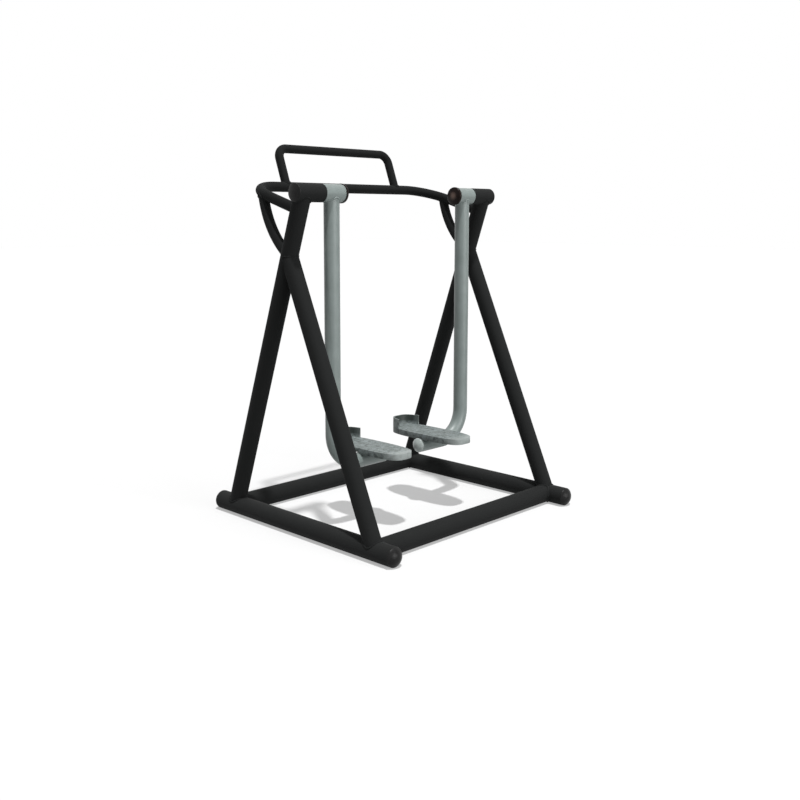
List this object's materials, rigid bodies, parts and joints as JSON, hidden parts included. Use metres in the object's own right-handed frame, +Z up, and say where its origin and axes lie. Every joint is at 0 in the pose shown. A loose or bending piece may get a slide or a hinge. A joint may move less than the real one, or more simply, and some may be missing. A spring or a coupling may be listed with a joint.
{
  "type": "outdoor air walker",
  "caption": "Free-standing air walker: an A-shaped tube frame with a U handlebar carries foot pedals on swing arms that hang from bearings and swing to and fro independently.",
  "frame": {"origin": "on the ground in the middle of the base", "axes": "+X to the user's right along the swing axis, +Y forward towards the handlebar, +Z up"},
  "size_m": [1.058, 0.981, 1.4133],
  "materials": {
    "black_coat": "satin black powder coat",
    "grey_coat": "satin silver-grey powder coat",
    "cast_aluminium": "silver-grey coated casting",
    "black_plastic": "semi-gloss moulded",
    "grey_plastic": "semi-gloss moulded",
    "brown_plastic": "semi-gloss moulded",
    "turned_steel": "turned",
    "bearing_steel": "ground",
    "zinc_steel": "zinc plated"
  },
  "bodies": {
    "frame": {"front_cross_tube": "black_coat", "rear_cross_tube": "black_coat", "handlebar": "black_coat", "upper_handle": "black_coat", "left_rail": "black_coat", "left_front_rail_cap": "black_plastic", "left_rear_rail_cap": "black_plastic", "left_front_leg": "black_coat", "left_rear_leg": "black_coat", "left_brace": "black_coat", "left_pivot_sleeve": "black_coat", "left_sleeve_cap": "black_plastic", "left_axle": "turned_steel", "left_axle_inner_disc": "turned_steel", "left_axle_outer_disc": "turned_steel", "left_stop_pin": "turned_steel", "left_bearing_inner_rings": "bearing_steel", "left_bearing_spacer": "turned_steel", "left_axle_washer": "zinc_steel", "left_axle_nut": "zinc_steel", "right_rail": "black_coat", "right_front_rail_cap": "black_plastic", "right_rear_rail_cap": "black_plastic", "right_front_leg": "black_coat", "right_rear_leg": "black_coat", "right_brace": "black_coat", "right_pivot_sleeve": "black_coat", "right_sleeve_cap": "black_plastic", "right_axle": "turned_steel", "right_axle_inner_disc": "turned_steel", "right_axle_outer_disc": "turned_steel", "right_stop_pin": "turned_steel", "right_bearing_inner_rings": "bearing_steel", "right_bearing_spacer": "turned_steel", "right_axle_washer": "zinc_steel", "right_axle_nut": "zinc_steel"},
    "left_swing": {"left_bearing_housing": "grey_coat", "left_bearing_outer_rings": "bearing_steel", "left_bearing_balls": "bearing_steel", "left_stop_ring": "turned_steel", "left_hub_cap": "brown_plastic", "left_swing_arm": "grey_coat", "left_arm_end_cap": "grey_plastic", "left_pedal_bracket": "grey_coat", "left_pedal": "cast_aluminium", "left_pedal_washers": "zinc_steel", "left_pedal_bolts": "zinc_steel"},
    "right_swing": {"right_bearing_housing": "grey_coat", "right_bearing_outer_rings": "bearing_steel", "right_bearing_balls": "bearing_steel", "right_stop_ring": "turned_steel", "right_hub_cap": "brown_plastic", "right_swing_arm": "grey_coat", "right_arm_end_cap": "grey_plastic", "right_pedal_bracket": "grey_coat", "right_pedal": "cast_aluminium", "right_pedal_washers": "zinc_steel", "right_pedal_bolts": "zinc_steel"}
  },
  "joints": [
    {"name": "left_swing_hinge", "type": "hinge", "parent": "frame", "child": "left_swing", "pos_m": [-0.354, -0.032, 1.22], "axis": [1, 0, 0], "range_deg": [-60, 60]},
    {"name": "right_swing_hinge", "type": "hinge", "parent": "frame", "child": "right_swing", "pos_m": [0.354, -0.032, 1.22], "axis": [1, 0, 0], "range_deg": [-60, 60]}
  ]
}
